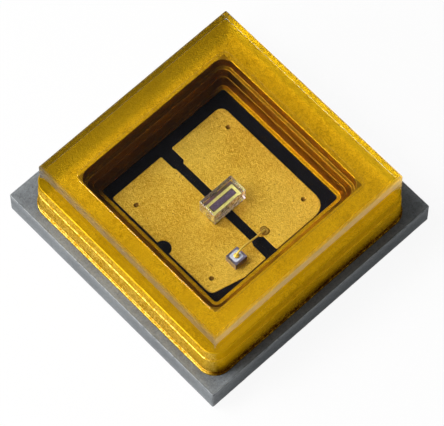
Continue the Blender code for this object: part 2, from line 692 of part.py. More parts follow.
def make_zener(parts):
    """Protection diode on its joint, with the metal on its top; returns the height of that metal."""
    chip_bottom = CHIP_JOINT_BOTTOM + ZENER_SOLDER_THICKNESS + SEAT_GAP
    pad_bottom = chip_bottom + ZENER_THICKNESS + SEAT_GAP
    spread = 2 * ZENER_SOLDER_SPREAD
    joint_size = (ZENER_LENGTH + spread, ZENER_WIDTH + spread, ZENER_SOLDER_THICKNESS)
    joint = standing("box", joint_size, CHIP_JOINT_BOTTOM, ZENER_PLACE)
    round_edges(joint, SOLDER_EDGE_RADIUS, 2)
    place(joint, "zener_solder", "solder", parts)
    chip = standing("box", (ZENER_LENGTH, ZENER_WIDTH, ZENER_THICKNESS), chip_bottom, ZENER_PLACE)
    place(chip, "zener_chip", "silicon", parts)
    half_x = ZENER_LENGTH / 2 - ZENER_PAD_SETBACK
    half_y = ZENER_WIDTH / 2 - ZENER_PAD_SETBACK
    outline = rounded_rectangle(half_x, half_y, SMALL_RADIUS, EDGE_STEPS)
    metal = plate([outline], pad_bottom, ZENER_PAD_THICKNESS, ZENER_PLACE)
    place(metal, "zener_pad", "aluminium", parts)
    return pad_bottom + ZENER_PAD_THICKNESS


def wire_path(start, end):
    """Points of the loop: up out of the ball, over, and down to the stitch, as one Bezier curve."""
    along = (end - start).to_2d().normalized().to_3d()
    leave = start + along * WIRE_LEAN + Vector((0.0, 0.0, WIRE_RISE))
    arrive = end - along * WIRE_LANDING_RUN + Vector((0.0, 0.0, WIRE_LANDING_RISE))
    points = []
    for step in range(WIRE_STEPS + 1):
        share = step / WIRE_STEPS
        rest = 1 - share
        points.append(start * rest ** 3 + leave * 3 * rest ** 2 * share
                      + arrive * 3 * rest * share ** 2 + end * share ** 3)
    return points


def make_bond_wire(parts, cutters, diode_top):
    """Bond wire, one piece with its ball on the diode and its stitch on the anode pad."""
    ball_height = diode_top + SEAT_GAP + BALL_HEIGHT / 2
    stitch_height = CHIP_JOINT_BOTTOM + STITCH_HEIGHT
    wire_height = CHIP_JOINT_BOTTOM + WIRE_DIAMETER / 2
    start = ZENER_PLACE + Vector((0.0, 0.0, ball_height))
    end = STITCH_PLACE + Vector((0.0, 0.0, wire_height))
    direction = end - start
    turn = math.atan2(direction.y, direction.x)
    bond_wire = wire(wire_path(start, end), WIRE_DIAMETER)
    ball = primitive("ellipsoid", (BALL_DIAMETER, BALL_DIAMETER, BALL_HEIGHT), start)
    stitch_size = (STITCH_LENGTH, STITCH_WIDTH, 2 * STITCH_HEIGHT)
    stitch = primitive("ellipsoid", stitch_size, STITCH_PLACE + Vector((0.0, 0.0, stitch_height)), turn)
    for name, tool in (("ball_tool", ball), ("stitch_tool", stitch)):
        place_cutter(tool, name, cutters)
        boolean(bond_wire, tool, "UNION")
    place(bond_wire, "bond_wire", "gold", parts)


def main():
    """Build the LED."""
    clear_scene()
    parts = new_collection("ultraviolet_led")
    cutters = new_collection("cutters")
    make_base(parts, cutters)
    make_vias(parts)
    make_terminals(parts)
    make_floor_mask(parts)
    make_pads(parts, cutters)
    make_frame(parts)
    make_window(parts)
    make_led(parts)
    diode_top = make_zener(parts)
    make_bond_wire(parts, cutters, diode_top)


main()
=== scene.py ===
"""Ultraviolet LED: ceramic base, plated frame, quartz window and the bare chips on gold pads.

Laid out as a Blender add-on and run as a script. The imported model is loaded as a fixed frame. The
operators below dress it with finer pieces and materials, and light it on a plain pale floor.
"""

import math
from collections import namedtuple

import bmesh
import bpy
from bpy.props import FloatProperty, FloatVectorProperty, IntProperty, PointerProperty
from bpy.types import Operator, Panel, PropertyGroup
from mathutils import Matrix, Vector


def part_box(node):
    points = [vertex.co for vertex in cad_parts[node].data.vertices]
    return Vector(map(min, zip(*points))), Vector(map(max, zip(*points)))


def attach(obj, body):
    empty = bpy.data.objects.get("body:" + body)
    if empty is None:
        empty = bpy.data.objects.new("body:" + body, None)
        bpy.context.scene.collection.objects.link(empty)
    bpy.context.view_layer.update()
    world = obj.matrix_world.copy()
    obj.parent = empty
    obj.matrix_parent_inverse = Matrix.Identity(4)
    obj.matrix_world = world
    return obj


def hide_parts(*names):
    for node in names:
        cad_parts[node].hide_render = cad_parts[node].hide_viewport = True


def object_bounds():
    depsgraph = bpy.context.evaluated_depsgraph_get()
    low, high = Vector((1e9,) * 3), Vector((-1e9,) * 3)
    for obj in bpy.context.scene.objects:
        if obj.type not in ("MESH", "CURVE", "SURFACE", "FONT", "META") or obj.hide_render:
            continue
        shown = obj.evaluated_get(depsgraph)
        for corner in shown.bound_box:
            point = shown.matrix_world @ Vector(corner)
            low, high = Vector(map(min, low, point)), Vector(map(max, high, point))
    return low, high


bl_info = {
    "name": "Ultraviolet LED",
    "version": (1, 0, 0),
    "blender": (4, 5, 0),
    "location": "View3D > Sidebar > UV LED",
    "description": "Dresses the packed model of a ceramic ultraviolet LED",
    "category": "Object",
}

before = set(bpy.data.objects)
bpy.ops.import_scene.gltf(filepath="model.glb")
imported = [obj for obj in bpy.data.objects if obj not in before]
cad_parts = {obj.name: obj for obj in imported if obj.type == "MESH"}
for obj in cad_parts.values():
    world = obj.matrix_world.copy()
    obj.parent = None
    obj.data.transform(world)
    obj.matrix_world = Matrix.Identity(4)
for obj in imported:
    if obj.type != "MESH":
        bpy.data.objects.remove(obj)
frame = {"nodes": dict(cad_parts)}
CAD_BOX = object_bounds()
MM = 0.001
BODY = "root"

# Names of the attributes that the meshes carry
EDGE, SHIFT, PRESSED, THICKNESS = "edge", "shift", "pressed", "thickness"

# Details of the meshes
WELD = 1e-5 * MM  # points closer than this become one
HOLD = 0.001 * MM  # distance of the ring that keeps the shading beside a rounded edge
CLEAN_EASE = 0.0025 * MM  # edges rounded by less than this show no wear
IMMERSED = 0.5e-3 * MM  # how far a clear piece dips into what it touches
STITCH_STEPS = 36
LOOP_STEPS = 40

# The frame's section
FLANGE_HEIGHT = 0.030 * MM
GROOVE_HEIGHT = 0.023 * MM
GROOVE_END = 0.045 * MM
WALL_INSET = 0.016 * MM
BAND_INSET = 0.036 * MM
BAND_STEP = 0.010 * MM
DRAFT = 0.005 * MM
LINE_STEP = 0.007 * MM
LIP_WIDTH = 0.045 * MM

# The window's section, and the ends of the bond wire
BARE_MARGIN = 0.040 * MM  # how far the bare underside of the glass reaches over the frame
STEP_RADIUS = 0.10 * MM
SHARP = 0.002 * MM
STITCH_IN_BOX = Vector((0.045 * MM, 0.035 * MM))
BALL_SEAT = 0.002 * MM

# The studio
KEY_SIDE = Vector((-0.45, 0.43, 0.82))
LOW_SIDE = Vector((-0.90, 0.22, 0.29))
LAMP_DISTANCE = 45 * MM
LAMP_SIZE = 22 * MM
CAMERA_TARGET = Vector((-0.133 * MM, -0.187 * MM, 0.552 * MM))

BLACK, WHITE = (0.0, 0.0, 0.0), (1.0, 1.0, 1.0)
PLATING_ROUGHNESS = 0.56
SOCKET_KINDS = {int: "Int", float: "Float", tuple: "Vector"}

Corner = namedtuple("Corner", "half radius height ease shift", defaults=(0.0, 0.0))
Ring = namedtuple("Ring", "half radius height edge shift", defaults=(0.0,))


def node_middle(node):
    """Middle of a CAD node's box."""
    low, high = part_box(node)
    return (low + high) / 2


def opening_half(settings):
    """Half the width of the frame's opening at its top."""
    low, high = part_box("frame")
    return (high.x - low.x) / 2 - BAND_INSET - settings.wall_width


def toned(colour, factor):
    """A colour made darker or lighter."""
    return [part * factor for part in colour]


def number(name, description, value, **kind):
    """A number of a given kind."""
    return FloatProperty(name=name, description=description, default=value, **kind)


def length(name, description, millimetres):
    """A length, with its default in millimetres."""
    return number(name, description, millimetres * MM, min=0.0, unit="LENGTH", precision=6)


def share(name, description, value):
    """A number between 0 and 1."""
    return number(name, description, value, min=0.0, max=1.0, subtype="FACTOR")


def colour(name, description, value):
    """A colour."""
    return FloatVectorProperty(name=name, description=description, default=value, size=3,
                               min=0.0, max=1.0, subtype="COLOR")


class BaseSettings(PropertyGroup):
    """Ceramic base and the solder terminals under it."""
    corner_radius: length("Corner Radius", "Rounding of the upright corners", 0.020)
    edge_ease: length("Edge Ease", "Rounding of the long edges", 0.010)
    chip_depth: length("Chip Depth", "Deepest chip along the snapped edges", 0.014)
    chip_size: length("Chip Size", "Width of one chip", 0.045)
    light: colour("Light Ceramic", "Ceramic where it is palest", (0.203, 0.226, 0.243))
    dark: colour("Dark Ceramic", "Ceramic between the pale grains", (0.098, 0.110, 0.123))


class FrameSettings(PropertyGroup):
    """Plated frame round the cavity."""
    corner_radius: length("Corner Radius", "Rounding of the outer corners", 0.200)
    opening_radius: length("Opening Radius", "Rounding of the opening's corners", 0.155)
    wall_width: length("Wall Width", "Width of the top face", 0.389)
    band_height: length("Band Height", "Height of the band round the top", 0.215)
    tread_depth: length("Tread Depth", "Depth of the step inside the opening", 0.150)
    tread_width: length("Tread Width", "Width of the step inside the opening", 0.045)
    line_depth: length("Line Depth", "Depth of the thin line under the step", 0.330)
    groove_depth: length("Groove Depth", "Depth of the groove above the foot", 0.022)
    foot_shift: length("Foot Shift", "How far the opening is off centre at the floor", 0.068)
    unevenness: length("Unevenness", "Waviness of the plated faces", 0.0012)
    grain: length("Grain", "Width of one grain of the plating", 0.014)
    light: colour("Light Gold", "Plating on the high spots", (0.68, 0.40, 0.010))
    dark: colour("Dark Gold", "Plating in the low spots", (0.42, 0.22, 0.001))
    # Painted highlight: paler gold for the grain peaks of the outer walls on the lamps' side.
    flank: colour("Flank Gold", "Plating on the outer walls", (0.86, 0.62, 0.13))
    edge_tint: colour("Edge Tint", "Colour of glancing reflections", (0.95, 0.68, 0.14))
    # Painted shade and painted reflection of the dark ledge, at the foot of the outer walls.
    foot: colour("Foot Gold", "Plating at the shaded foot of the walls", (0.10, 0.028, 0.001))
    # Painted shadow of the window's cut sides, on the top along its two rear edges.
    olive: colour("Olive Gold", "Plating along the window's rear edge", (0.24, 0.15, 0.002))
    shade: colour("Shaded Gold", "Plating on the walls of the opening", (0.12, 0.045, 0.004))


class WindowSettings(PropertyGroup):
    """Quartz window and the glue under it."""
    corner_radius: length("Corner Radius", "Rounding of the upright corners", 0.018)
    top_round: length("Top Rounding", "Radius of the rounded edge round the top", 0.022)
    chip_depth: length("Chip Depth", "Deepest chip along the cut edges", 0.0015)
    chip_size: length("Chip Size", "Width of one chip", 0.060)
    ior: number("Refraction", "Refractive index of the window", 1.46, min=1.0)
    haze: share("Side Haze", "Roughness of the front sides", 0.45)
    # Painted shade: the tint darkens what shows through the front sides and the rounded edges.
    cut_tint: colour("Cut Tint", "Tint of the cut sides", (0.76, 0.78, 0.70))
    haze_width: length("Haze Width", "Width of the hazy front strip", 0.110)
    edge_haze: share("Edge Haze", "Roughness of the hazy front strip", 0.40)
    lamp_share: share("Lamp Share", "Share of lamp light let through", 0.9)


class PadSettings(PropertyGroup):
    """Gold pads and the black coat round them."""
    grain: length("Grain", "Width of one grain of the plating", 0.013)
    light: colour("Light Gold", "Plating on the high spots", (0.92, 0.63, 0.090))
    dark: colour("Dark Gold", "Plating in the low spots", (0.52, 0.28, 0.012))
    pit: colour("Pit", "Bottom of a pit in the plating", (0.26, 0.11, 0.008))
    stained: colour("Stained Gold", "Plating over a via", (0.12, 0.040, 0.006))
    stain: length("Stain", "Radius of the stain over a via", 0.036)
    coat: colour("Black Coat", "Coat between and round the pads", (0.0020, 0.0020, 0.0032))


class ChipSettings(PropertyGroup):
    """Flip-chip LED and the protection diode."""
    edge_ease: length("Edge Ease", "Rounding of the chip's cut edges", 0.007)
    ior: number("Refraction", "Refractive index of the LED's substrate", 1.77, min=1.0)
    cut_haze: share("Side Haze", "Roughness of the LED's cut sides", 0.24)
    cut_tint: colour("Side Tint", "Tint of the LED's cut sides", (1.0, 0.80, 0.92))
    ring: colour("Ring Contact", "Metal of the ring contact", (0.95, 0.90, 0.30))
    bar: colour("Bar Contact", "Metal of the bar contact", (0.25, 0.19, 0.30))
    layers: colour("Light Layers", "Thin layers round the contacts", (0.115, 0.085, 0.030))
    layers_patch: colour("Layer Patches", "Patches of the thin layers", (0.150, 0.075, 0.095))
    silicon: colour("Silicon", "Sides of the protection diode", (0.13, 0.115, 0.17))
    silicon_pad: colour("Diode Pad", "Metal on top of the protection diode", (0.66, 0.71, 0.82))


class WireSettings(PropertyGroup):
    """Bond wire, its ball and its stitch."""
    diameter: length("Diameter", "Diameter of the wire", 0.024)
    ball_diameter: length("Ball Diameter", "Diameter of the ball on the diode", 0.070)
    ball_height: length("Ball Height", "Height of the ball on the diode", 0.030)
    sides: IntProperty(name="Sides", description="Faces round the wire", default=20, min=6)
    stitch_radius: length("Stitch Radius", "Half width of the stitch on the pad", 0.060)
    stitch_height: length("Stitch Height", "Thickness of the stitch", 0.009)
    gold: colour("Wire Gold", "Colour of the wire", (1.0, 0.80, 0.17))
    pressed_gold: colour("Pressed Gold", "Colour of the stitch", (0.20, 0.085, 0.006))


class StudioSettings(PropertyGroup):
    """Floor, lamps and camera."""
    floor_radius: length("Floor Radius", "Radius of the floor", 400.0)
    floor: colour("Floor", "Colour of the floor", (0.88, 0.88, 0.88))
    floor_glow: share("Floor Glow", "How white the floor is close to the part", 0.92)
    key_power: number("Key Power", "Strength of the large side lamp", 0.0170, min=0.0, unit="POWER")
    low_power: number("Low Power", "Strength of the low lamp", 0.0110, min=0.0, unit="POWER")
    bright_side: share("Bright Side", "Room light on the lamp's side", 1.0)
    shade_side: share("Shade Side", "Room light on the other side", 0.33)
    overhead: share("Overhead", "Room light from above", 0.05)
    azimuth: number("Azimuth", "Direction of the camera", math.radians(-43.29), subtype="ANGLE")
    elevation: number("Elevation", "Angle above the horizon", math.radians(65.40), subtype="ANGLE")
    distance: length("Distance", "Distance of the camera", 42.0)
    lens: number("Lens", "Focal length", 290.96, unit="CAMERA")


class PartSettings(PropertyGroup):
    """All settings of the part."""
    base: PointerProperty(type=BaseSettings)
    frame: PointerProperty(type=FrameSettings)
    window: PointerProperty(type=WindowSettings)
    pads: PointerProperty(type=PadSettings)
    chips: PointerProperty(type=ChipSettings)
    wire: PointerProperty(type=WireSettings)
    studio: PointerProperty(type=StudioSettings)


# Node trees


def math_method(operation, swapped=False):
    """A method that adds a Math node to its Value's tree."""
    def method(self, *others):
        return self.nodes.calc(operation, *((*others, self) if swapped else (self, *others)))
    return method


class Value:
    """An output socket. Arithmetic with it adds Math nodes to its tree."""
    __add__, __radd__ = math_method("ADD"), math_method("ADD", True)
    __sub__, __rsub__ = math_method("SUBTRACT"), math_method("SUBTRACT", True)
    __truediv__, __rtruediv__ = math_method("DIVIDE"), math_method("DIVIDE", True)
    __mul__, __abs__ = math_method("MULTIPLY"), math_method("ABSOLUTE")
    at_least, at_most = math_method("MAXIMUM"), math_method("MINIMUM")
    floor, cosine, sine = math_method("FLOOR"), math_method("COSINE"), math_method("SINE")

    def __init__(self, socket):
        self.socket = socket
        self.nodes = Nodes(socket.id_data)

    def clamped(self):
        """Keeps what its own Math node puts out between 0 and 1."""
        self.socket.node.use_clamp = True
        return self

    def ramp(self, low, high, to_low=0.0, to_high=1.0):
        """Eased from one range to another."""
        inputs = {"Value": self, "From Min": low, "From Max": high, "To Min": to_low, "To Max": to_high}
        return self.nodes.one("ShaderNodeMapRange", inputs, interpolation_type="SMOOTHSTEP")

    def mix(self, first, second):
        """The colour that lies this share of the way from the first to the second."""
        return self.nodes.one("ShaderNodeMix", {0: self, 6: first, 7: second}, 2, data_type="RGBA")


class Nodes:
    """Adds nodes to one tree."""

    def __init__(self, tree):
        self.tree = tree

    def feed(self, socket, value):
        """Links a Value to an input, or sets the input to a number or a colour."""
        if isinstance(value, Value):
            self.tree.links.new(value.socket, socket)
        elif socket.type == "RGBA":
            socket.default_value = (*value[:3], 1.0)
        else:
            socket.default_value = value

    def fill(self, sockets, **values):
        """Feeds sockets by name. Underscores in the names stand for spaces."""
        for key, value in values.items():
            self.feed(sockets[key.replace("_", " ")], value)

    def add(self, kind, inputs=None, **settings):
        """A new node with its settings and its inputs."""
        node = self.tree.nodes.new(kind)
        for name, value in settings.items():
            setattr(node, name, value)
        for key, value in (inputs or {}).items():
            self.feed(node.inputs[key], value)
        return node

    def one(self, kind, inputs=None, out=0, **settings):
        """One output of a new node."""
        return Value(self.add(kind, inputs, **settings).outputs[out])

    def calc(self, operation, *values):
        """Result of a Math node."""
        return self.one("ShaderNodeMath", dict(enumerate(values)), operation=operation)

    def vector(self, operation, *values):
        """Result of a Vector Math node."""
        out = "Value" if operation in ("LENGTH", "DOT_PRODUCT") else "Vector"
        return self.one("ShaderNodeVectorMath", dict(enumerate(values)), out, operation=operation)

    def scaled(self, vector, factor):
        """A vector times one number."""
        return self.one("ShaderNodeVectorMath", {0: vector, "Scale": factor}, operation="SCALE")

    def split(self, vector):
        """The three parts of a vector."""
        return [Value(socket) for socket in self.add("ShaderNodeSeparateXYZ", {0: vector}).outputs]

    def join(self, x, y, z=0.0):
        """A vector from its parts."""
        return self.one("ShaderNodeCombineXYZ", {"X": x, "Y": y, "Z": z})

    def noise(self, vector, scale, detail=2.0, roughness=0.5):
        """A noise texture."""
        inputs = {"Vector": vector, "Scale": scale, "Detail": detail, "Roughness": roughness}
        return self.one("ShaderNodeTexNoise", inputs, "Fac")

    def place(self):
        """Object coordinates in millimetres."""
        return self.scaled(self.one("ShaderNodeTexCoord", out="Object"), 1 / MM)

    def facing(self):
        """The three parts of the surface's normal."""
        return self.split(self.one("ShaderNodeNewGeometry", out="Normal"))

    def carried(self, label):
        """A mask that the mesh carries, in a material."""
        return self.one("ShaderNodeAttribute", out="Fac", attribute_name=label)

    def named(self, label):
        """A number that the mesh carries, in a Geometry Nodes tree."""
        return self.one("GeometryNodeInputNamedAttribute", {"Name": label}, data_type="FLOAT")

    def use(self, build, **values):
        """Places a shared effect and gives its outputs in their order."""
        node = self.add("ShaderNodeGroup", node_tree=shared(build))
        self.fill(node.inputs, **values)
        return [Value(socket) for socket in node.outputs]


class Finish(Nodes):
    """A new material's nodes and its shader."""

    def __init__(self, name):
        self.material = bpy.data.materials.new(name)
        self.material.use_nodes = True
        super().__init__(self.material.node_tree)
        self.shader = self.tree.nodes["Principled BSDF"]

    def set(self, **values):
        """Feeds the shader's inputs."""
        self.fill(self.shader.inputs, **values)

    def bump(self, height, depth_mm):
        """Relief, with its depth in millimetres."""
        self.set(Normal=self.one("ShaderNodeBump", {"Height": height, "Distance": depth_mm * MM}))

    def cover(self, amount, other):
        """Mixes another shader over the material's own."""
        shaders = {0: amount, 1: Value(self.shader.outputs[0]), 2: other}
        self.fill(self.tree.nodes["Material Output"].inputs, Surface=self.one("ShaderNodeMixShader", shaders))

    def let_lamps_through(self, amount):
        """Lets a share of the lamps' light through clear glass."""
        clear = self.one("ShaderNodeBsdfTransparent", {"Color": (amount, amount, amount)})
        self.cover(self.one("ShaderNodeLightPath", out="Is Shadow Ray"), clear)


def shared(build):
    """The node group that a function builds, made the first time that it is asked for."""
    name = build.__name__.replace("_", " ").title()
    return bpy.data.node_groups.get(name) or build(name)


def new_group(name, kind, inputs, *outputs):
    """An empty group. Each input has a name and its default, or its kind where it has no default."""
    tree = bpy.data.node_groups.new(name, kind + "NodeTree")
    result = "Geometry" if kind == "Geometry" else "Float"
    for direction, sockets in (("INPUT", inputs), ("OUTPUT", dict.fromkeys(outputs, result))):
        for label, value in sockets.items():
            sort = value if isinstance(value, str) else SOCKET_KINDS[type(value)]
            socket = tree.interface.new_socket(label, in_out=direction, socket_type="NodeSocket" + sort)
            if not isinstance(value, str):
                socket.default_value = value
    nodes = Nodes(tree)
    given = {socket.name: Value(socket) for socket in nodes.add("NodeGroupInput").outputs}
    return nodes, given, nodes.add("NodeGroupOutput").inputs


# Shared effects


def plating_grain(name):
    """Sandpaper grain of plating: a height, and masks of its peaks and its pits."""
    n, given, result = new_group(name, "Shader", {"Size": 0.012, "Coarse Share": 0.35, "Patchiness": 0.3},
                                 "Height", "Peaks", "Pits")
    place = n.place()
    fine_scale = 1.0 / given["Size"]
    fine = n.noise(place, fine_scale, 1.0, 0.7)
    coarse = n.noise(place, fine_scale * 0.37, 1.0)
    patches = n.noise(place, 2.3, 1.0).ramp(0.35, 0.65)
    grains = coarse * given["Coarse Share"] + fine * (1.0 - given["Coarse Share"])
    height = 0.5 + (grains - 0.5) * (1.0 - patches * given["Patchiness"])
    n.fill(result, Height=height, Peaks=height.ramp(0.40, 0.62), Pits=height.ramp(0.42, 0.32))
    return n.tree


def level_lines(name):
    """Fine level lines round an upright face."""
    n, given, result = new_group(name, "Shader", {"Spacing": 0.012, "Length": 0.6}, "Lines")
    along = 1.0 / given["Length"]
    squeezed = n.vector("MULTIPLY", n.place(), n.join(along, along, 1.0 / given["Spacing"]))
    n.fill(result, Lines=n.noise(squeezed, 1.0, 2.0, 0.6).ramp(0.35, 0.65))
    return n.tree


def specks(name):
    """Scattered dots: 1 in a dot and 0 between."""
    n, given, result = new_group(name, "Shader", {"Spacing": 0.05, "Dot": 0.3}, "Specks")
    cells = n.add("ShaderNodeTexVoronoi", {"Vector": n.place(), "Scale": 1.0 / given["Spacing"]}).outputs
    chance = n.one("ShaderNodeSeparateColor", {"Color": Value(cells["Color"])})
    inside = given["Dot"] * chance - Value(cells["Distance"])
    n.fill(result, Specks=inside.ramp(0.0, 0.08))
    return n.tree


def round_stain(name):
    """A soft round stain about one place: 1 in the middle and 0 outside."""
    n, given, result = new_group(name, "Shader", {"Centre": BLACK, "Radius": 0.03}, "Stain")
    place, radius = n.place(), given["Radius"]
    apart = n.vector("LENGTH", n.vector("SUBTRACT", place, given["Centre"]))
    reach = apart + n.noise(place, 45.0, 1.0) * radius * 0.6
    n.fill(result, Stain=(radius * 1.25 - reach).ramp(0.0, 0.010))
    return n.tree


def edge_wear(name):
    """Uneven mask along the eased edges of a piece."""
    n, given, result = new_group(name, "Shader", {"Size": 0.03, "Amount": 0.6}, "Wear")
    broken = n.noise(n.place(), 1.0 / given["Size"])
    worn = broken - (1.0 - given["Amount"]) * 0.6
    n.fill(result, Wear=n.carried(EDGE) * worn.ramp(0.0, 0.25))
    return n.tree


def plated_gold(name, light, dark, roughness, grain_mm=0.010, depth_mm=0.001, patchiness=0.3):
    """Metal plating with sandpaper grain."""
    n = Finish(name)
    height, peaks, pits = n.use(plating_grain, Size=grain_mm, Patchiness=patchiness)
    stains = n.noise(n.place(), 1.1).ramp(0.3, 0.7)
    gold = (peaks * 0.72 + stains * 0.28).clamped().mix(dark, light)
    n.set(Base_Color=(pits * 0.7).mix(gold, toned(dark, 0.35)), Metallic=1.0,
          Roughness=roughness + 0.06 - peaks * 0.12)
    n.bump(height, depth_mm)
    return n.material


def dress(material, *nodes):
    """Gives CAD nodes a better material."""
    for node in nodes:
        mesh = frame["nodes"][node].data
        mesh.materials.clear()
        mesh.materials.append(material)


# Pieces from a section


def written(work, mesh):
    """Writes the work on a mesh back to it."""
    work.to_mesh(mesh)
    work.free()
    return mesh


def new_object(name, data):
    """An object in the scene."""
    made = bpy.data.objects.new(name, data)
    bpy.context.scene.collection.objects.link(made)
    return made


def eased_section(corners, steps=4):
    """Rings of a section with its corners rounded, each between rings that hold the flats' shading."""
    rings = []
    for index, (half, radius, height, ease, shift) in enumerate(corners):
        here = Vector((half, height))
        back, on = (Vector((near.half, near.height)) - here
                    for near in (corners[index - 1], corners[(index + 1) % len(corners)]))
        if ease == 0.0 or back.length == 0.0 or on.length == 0.0:
            rings.append(Ring(half, radius, height, 0.0, shift))
            continue
        back.normalize()
        on.normalize()
        turn = back.angle(on)
        reach = ease / math.tan(turn / 2)
        centre = here + (back + on).normalized() * ease / math.sin(turn / 2)
        first = here + back * reach - centre
        last = here + on * reach - centre
        worn = 1.0 if ease > CLEAN_EASE else 0.0
        points = [(here + back * (reach + gap), 0.0) for gap in (4 * HOLD, HOLD)]
        points += [(centre + first.slerp(last, step / steps) * ease, worn) for step in range(steps + 1)]
        points += [(here + on * (reach + gap), 0.0) for gap in (HOLD, 4 * HOLD)]
        rings += [Ring(point.x, max(0.0, radius + point.x - half), point.y, edge, shift)
                  for point, edge in points]
    return rings


def line_mesh(name, points, **attributes):
    """A line of points, with a list of numbers for each attribute."""
    mesh = bpy.data.meshes.new(name)
    mesh.from_pydata(points, [(i, i + 1) for i in range(len(points) - 1)], [])
    for label, values in attributes.items():
        mesh.attributes.new(label, "FLOAT", "POINT").data.foreach_set("value", values)
    return mesh


def close_tree(n, shape, given, result):
    """Ends a piece's tree: smooth shading, plain geometry and its material."""
    smooth = n.one("GeometryNodeSetShadeSmooth", {"Geometry": shape})
    real = n.one("GeometryNodeRealizeInstances", {"Geometry": smooth})
    n.fill(result, Piece=n.one("GeometryNodeSetMaterial", {"Geometry": real, "Material": given["Material"]}))
    return n.tree


def rounded_square_loft(name):
    """Lofts a section round a square with rounded corners, with uneven faces and chipped edges."""
    n, given, result = new_group(name, "Geometry", {
        "Section": "Geometry", "Centre": BLACK, "Corner Steps": 8, "Side Steps": 8,
        "Unevenness": 0.0, "Uneven Size": 0.1 * MM, "Chip Depth": 0.0, "Chip Size": 0.05 * MM,
        "Material": "Material"}, "Piece")
    section, corner_steps, side_steps = (given[key] for key in ("Section", "Corner Steps", "Side Steps"))
    rings = n.one("GeometryNodeAttributeDomainSize", {"Geometry": section}, "Point Count")
    quarter = corner_steps + side_steps
    grid = n.one("GeometryNodeMeshGrid", {"Vertices X": quarter * 4.0 + 1.0, "Vertices Y": rings}, "Mesh")
    index = n.one("GeometryNodeInputIndex")
    ring = n.calc("FLOORED_MODULO", index, rings)
    step = ((index + 0.5) / rings).floor()
    turn = ((step + 0.5) / quarter).floor()
    local = step - turn * quarter
    angle = (local / corner_steps).clamped() * (math.pi / 2)
    along = ((local - corner_steps) / side_steps).clamped()
    place = n.one("GeometryNodeInputPosition")

    def of_section(value, kind="FLOAT"):
        inputs = {"Geometry": section, "Value": value, "Index": ring}
        return n.one("GeometryNodeSampleIndex", inputs, data_type=kind)

    half, radius, height = n.split(of_section(place, "FLOAT_VECTOR"))
    inner = half - radius
    x = inner * (1.0 - along * 2.0) + radius * angle.cosine()
    y = inner + radius * angle.sine()
    inputs = {"Vector": n.join(x, y, height), "Angle": turn * (math.pi / 2)}
    turned = n.one("ShaderNodeVectorRotate", inputs, rotation_type="Z_AXIS")
    shift = of_section(n.named(SHIFT))
    target = n.vector("ADD", n.vector("ADD", turned, given["Centre"]), n.join(shift, shift))
    shaped = n.one("GeometryNodeSetPosition", {"Geometry": grid, "Position": target})
    inputs = {"Geometry": shaped, "Name": EDGE, "Value": of_section(n.named(EDGE))}
    marked = n.one("GeometryNodeStoreNamedAttribute", inputs, data_type="FLOAT", domain="POINT")
    welded = n.one("GeometryNodeMergeByDistance", {"Geometry": marked, "Distance": WELD})
    waves = n.noise(place, 1.0 / given["Uneven Size"], 1.0)
    lift = (waves - 0.65).at_most(0.0) * given["Unevenness"]
    worn = n.noise(place, 1.0 / given["Chip Size"]).ramp(0.52, 0.72)
    chips = worn * n.named(EDGE) * given["Chip Depth"]
    offset = n.scaled(n.one("GeometryNodeInputNormal"), lift - chips)
    rough = n.one("GeometryNodeSetPosition", {"Geometry": welded, "Offset": offset})
    return close_tree(n, rough, given, result)


def tapered_wire(name):
    """Sweeps a round section along a path, with its radius from the path's own attribute."""
    n, given, result = new_group(
        name, "Geometry", {"Path": "Geometry", "Sides": 16, "Material": "Material"}, "Piece")
    curve = n.one("GeometryNodeMeshToCurve", {"Mesh": given["Path"]})
    circle = n.one("GeometryNodeCurvePrimitiveCircle", {"Resolution": given["Sides"], "Radius": 1.0})
    inputs = {"Curve": curve, "Profile Curve": circle, "Scale": n.named(THICKNESS), "Fill Caps": True}
    return close_tree(n, n.one("GeometryNodeCurveToMesh", inputs), given, result)


def grow(name, start, group, **values):
    """Runs a Geometry Nodes tree on a mesh and keeps the result as a plain mesh that faces outwards."""
    piece = new_object(name, start)
    modifier = piece.modifiers.new(group.name, "NODES")
    modifier.node_group = group
    for item in group.interface.items_tree:
        key = item.name.replace(" ", "_")
        if item.item_type == "SOCKET" and item.in_out == "INPUT" and key in values:
            modifier[item.identifier] = values[key]
    depsgraph = bpy.context.evaluated_depsgraph_get()
    mesh = bpy.data.meshes.new_from_object(piece.evaluated_get(depsgraph), depsgraph=depsgraph)
    if not mesh.polygons:
        raise RuntimeError(f"{name} came out empty")
    piece.modifiers.remove(modifier)
    work = bmesh.new()
    work.from_mesh(mesh)
    if work.calc_volume(signed=True) < 0.0:
        bmesh.ops.reverse_faces(work, faces=work.faces)
    piece.data = written(work, mesh)
    return piece


def lofted(name, node, rings, closed, material, **values):
    """A piece lofted round a square, about the middle of the CAD node that it stands for."""
    rings = rings + rings[:1] if closed else rings
    start = line_mesh(name, [ring[:3] for ring in rings], **{
        EDGE: [ring.edge for ring in rings], SHIFT: [ring.shift for ring in rings]})
    middle = node_middle(node)
    return grow(name, start, shared(rounded_square_loft), Material=material,
                Centre=(middle.x, middle.y, 0.0), **values)


def eased_block(name, low, high, ease, material):
    """A block between two corners, rounded along its edges."""
    work = bmesh.new()
    bmesh.ops.create_cube(work, size=1.0)
    matrix = Matrix.LocRotScale((low + high) / 2, None, high - low)
    bmesh.ops.transform(work, matrix=matrix, verts=work.verts)
    bmesh.ops.bevel(work, geom=work.edges[:], offset=ease, segments=2, profile=0.5, affect="EDGES")
    mesh = written(work, bpy.data.meshes.new(name))
    mesh.materials.append(material)
    return new_object(name, mesh)


def mount(piece, slot, *nodes):
    """Fixes a piece to the body, in place of the CAD nodes that it stands for."""
    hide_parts(*nodes)
    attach(piece, BODY)


# Pieces and their operators


